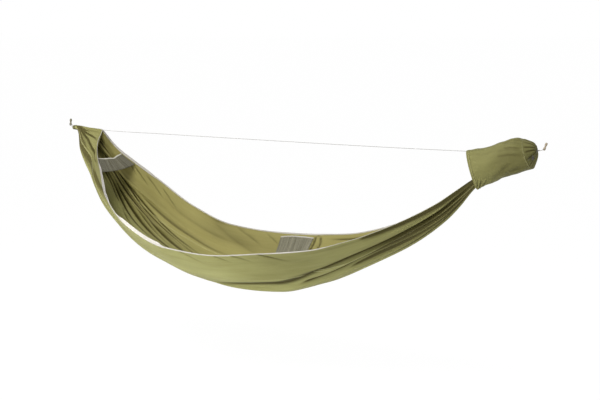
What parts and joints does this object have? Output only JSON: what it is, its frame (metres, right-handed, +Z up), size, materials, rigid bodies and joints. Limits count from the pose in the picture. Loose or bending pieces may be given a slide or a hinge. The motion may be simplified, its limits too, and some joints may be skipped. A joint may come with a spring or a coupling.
{
  "type": "camping hammock",
  "caption": "Gathered-end camping hammock with a closed head hood, taped edges, mesh pockets, ridgeline, pull-over stuff sack with cord lock, and toggle loops.",
  "frame": {"origin": "pivot of the head toggle in its cord loop, the point where the head end hangs", "axes": "+X from the head end to the foot end, +Z up, -Y the side nearest the picture's camera"},
  "size_m": [2.6834, 0.7572, 0.8505],
  "materials": {
    "olive_cloth": "thin woven cloth, satin",
    "sack_cloth": "thin woven cloth, matt",
    "grey_tape": "woven tape",
    "grey_mesh": "fine open mesh",
    "pale_elastic": "ribbed elastic",
    "grey_cord": "braided cord",
    "black_plastic": "moulded, fine grain",
    "spring_steel": "drawn wire",
    "dark_toggle": "turned and oiled, dark",
    "tan_toggle": "turned and oiled, tan"
  },
  "bodies": {
    "suspension": {"head_loop": "grey_cord", "foot_loop": "grey_cord"},
    "bed": {"centre_panel": "olive_cloth", "near_panel": "olive_cloth", "far_panel": "olive_cloth", "near_binding": "grey_tape", "far_binding": "grey_tape", "head_channel": "olive_cloth", "foot_channel": "olive_cloth", "head_whipping": "grey_cord", "foot_whipping": "grey_cord", "head_pocket_mesh": "grey_mesh", "head_pocket_hem": "pale_elastic", "wall_pocket_mesh": "grey_mesh", "wall_pocket_hem": "grey_tape", "ridgeline": "grey_cord", "ridgeline_head_knot": "grey_cord", "ridgeline_foot_knot": "grey_cord"},
    "sack": {"sack_tube": "sack_cloth", "sack_mouth_hem": "sack_cloth", "sack_end_channel": "sack_cloth", "sack_drawcord": "grey_cord"},
    "lock": {"lock_barrel": "black_plastic", "lock_spring": "spring_steel"},
    "plunger": {"lock_plunger": "black_plastic"},
    "head_toggle": {"head_toggle": "dark_toggle"},
    "foot_toggle": {"foot_toggle": "tan_toggle"}
  },
  "joints": [
    {"name": "bed_swing", "type": "hinge", "parent": "suspension", "child": "bed", "pos_m": [1.3, 0, -0.015], "axis": [1, 0, 0], "range_deg": [-40, 40]},
    {"name": "sack_slide", "type": "slide", "parent": "bed", "child": "sack", "axis": [1, 0, 0], "range_m": [0, 0.01]},
    {"name": "lock_slide", "type": "slide", "parent": "sack", "child": "lock", "axis": [-0.4695, -0.8829, 0], "range_m": [0, 0.014]},
    {"name": "plunger_press", "type": "slide", "parent": "lock", "child": "plunger", "axis": [0, 0, -1], "range_m": [0, 0.003], "stiffness_N_per_m": 300, "deforming": ["lock_spring"]},
    {"name": "head_toggle_turn", "type": "hinge", "parent": "suspension", "child": "head_toggle", "pos_m": [0, 0, 0], "axis": [0, 1, 0], "range_deg": [-35, 35]},
    {"name": "foot_toggle_turn", "type": "hinge", "parent": "suspension", "child": "foot_toggle", "pos_m": [2.662, 0, -0.007], "axis": [0, 1, 0], "range_deg": [-35, 35]}
  ]
}
